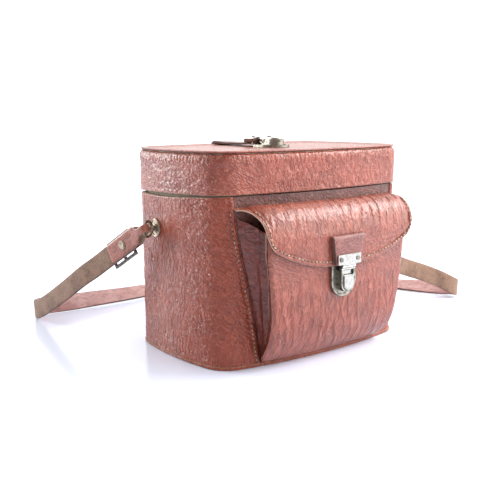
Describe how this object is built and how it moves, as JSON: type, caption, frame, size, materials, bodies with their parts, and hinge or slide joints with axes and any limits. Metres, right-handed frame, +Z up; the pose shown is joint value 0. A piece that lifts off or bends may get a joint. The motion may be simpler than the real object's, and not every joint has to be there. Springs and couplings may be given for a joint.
{
  "type": "leather carrying case",
  "caption": "Upright oval leather carrying case with a hinged lid held by a tuck-lock strap, a locking front pocket, side rings and a buckled shoulder strap.",
  "frame": {"origin": "centre of the case's base, on the surface it stands on", "axes": "+X to the right along the case's length, -Y out of the front where the pocket is, +Z up"},
  "size_m": [0.3798, 0.2964, 0.1687],
  "materials": {
    "case_leather": "embossed, glossy red-brown",
    "dark_leather": "worn dark brown grain",
    "strap_suede": "suede outside, pinkish grain inside",
    "board": "matt pressed fibre board",
    "lining": "matt woven cloth",
    "nickel": "aged nickel plate",
    "aged_brass": "dull, aged",
    "dark_steel": "dark, aged"
  },
  "bodies": {
    "case": {"base_leather": "case_leather", "base_welt": "case_leather", "base_board": "board", "base_lining": "lining", "wall_board": "board", "wall_leather": "case_leather", "wall_lining": "lining", "front_panel": "case_leather", "collar": "board", "strap_anchor": "case_leather", "pocket_front": "case_leather", "pocket_gusset_left": "case_leather", "pocket_gusset_right": "case_leather", "flap_root": "case_leather", "pocket_lock_plate": "nickel", "pocket_lock_housing": "nickel", "pocket_lock_spring": "dark_steel", "pocket_lock_backing": "dark_steel", "pocket_lock_rivet": "nickel", "stud_left": "aged_brass", "stud_right": "aged_brass", "stud_washer_left": "aged_brass", "stud_washer_right": "aged_brass", "stud_backing_left": "dark_steel", "stud_backing_right": "dark_steel", "chape_left": "case_leather", "chape_right": "case_leather", "chape_rivet_left": "aged_brass", "chape_rivet_right": "aged_brass", "buckle_frame_left": "dark_steel", "buckle_frame_right": "dark_steel", "buckle_prong_left": "dark_steel", "buckle_prong_right": "dark_steel", "shoulder_strap": "strap_suede"},
    "lid": {"lid_board": "board", "lid_top_leather": "case_leather", "lid_rim_board": "board", "lid_rim_leather": "case_leather", "lid_lining": "lining", "lid_hinge_leaf": "case_leather", "lid_lock_plate": "nickel", "lid_lock_housing": "nickel", "lid_lock_spring": "dark_steel", "lid_lock_backing": "dark_steel", "lid_lock_rivet": "nickel", "closing_strap_lower": "dark_leather", "closing_strap_rivets": "aged_brass"},
    "closing_strap": {"closing_strap": "dark_leather", "closing_strap_end": "dark_leather", "closing_tongue": "nickel", "closing_tongue_rivets": "nickel"},
    "flap": {"flap": "case_leather", "flap_tab": "dark_leather", "flap_tongue": "nickel", "flap_tongue_rivets": "nickel"},
    "lid_button": {"lid_lock_button": "nickel"},
    "pocket_button": {"pocket_lock_button": "nickel"},
    "ring_left": {"ring_left": "aged_brass"},
    "ring_right": {"ring_right": "aged_brass"}
  },
  "joints": [
    {"name": "lid_hinge", "type": "hinge", "parent": "case", "child": "lid", "pos_m": [0, -0.07, 0.1299], "axis": [1, 0, 0], "range_deg": [0, 100]},
    {"name": "closing_strap_swing", "type": "hinge", "parent": "lid", "child": "closing_strap", "pos_m": [0, 0.0671, 0.1637], "axis": [-1, 0, 0], "range_deg": [0, 135]},
    {"name": "pocket_flap", "type": "hinge", "parent": "case", "child": "flap", "pos_m": [0, -0.07, 0.1228], "axis": [1, 0, 0], "range_deg": [-80, 0]},
    {"name": "lid_button_press", "type": "slide", "parent": "lid", "child": "lid_button", "axis": [0, 0, -1], "range_m": [0, 0.0014], "stiffness_N_per_m": 400, "springref_m": -0.001, "deforming": ["lid_lock_spring"]},
    {"name": "pocket_button_press", "type": "slide", "parent": "case", "child": "pocket_button", "axis": [0, 1, 0], "range_m": [0, 0.0014], "stiffness_N_per_m": 400, "springref_m": -0.001, "deforming": ["pocket_lock_spring"]},
    {"name": "ring_left_spin", "type": "hinge", "parent": "case", "child": "ring_left", "pos_m": [-0.10844, 0.01711, 0.0995], "axis": [-0.4305, 0.9026, 0], "continuous": true},
    {"name": "ring_right_spin", "type": "hinge", "parent": "case", "child": "ring_right", "pos_m": [0.10844, 0.01711, 0.0995], "axis": [0.4305, 0.9026, 0], "continuous": true}
  ]
}
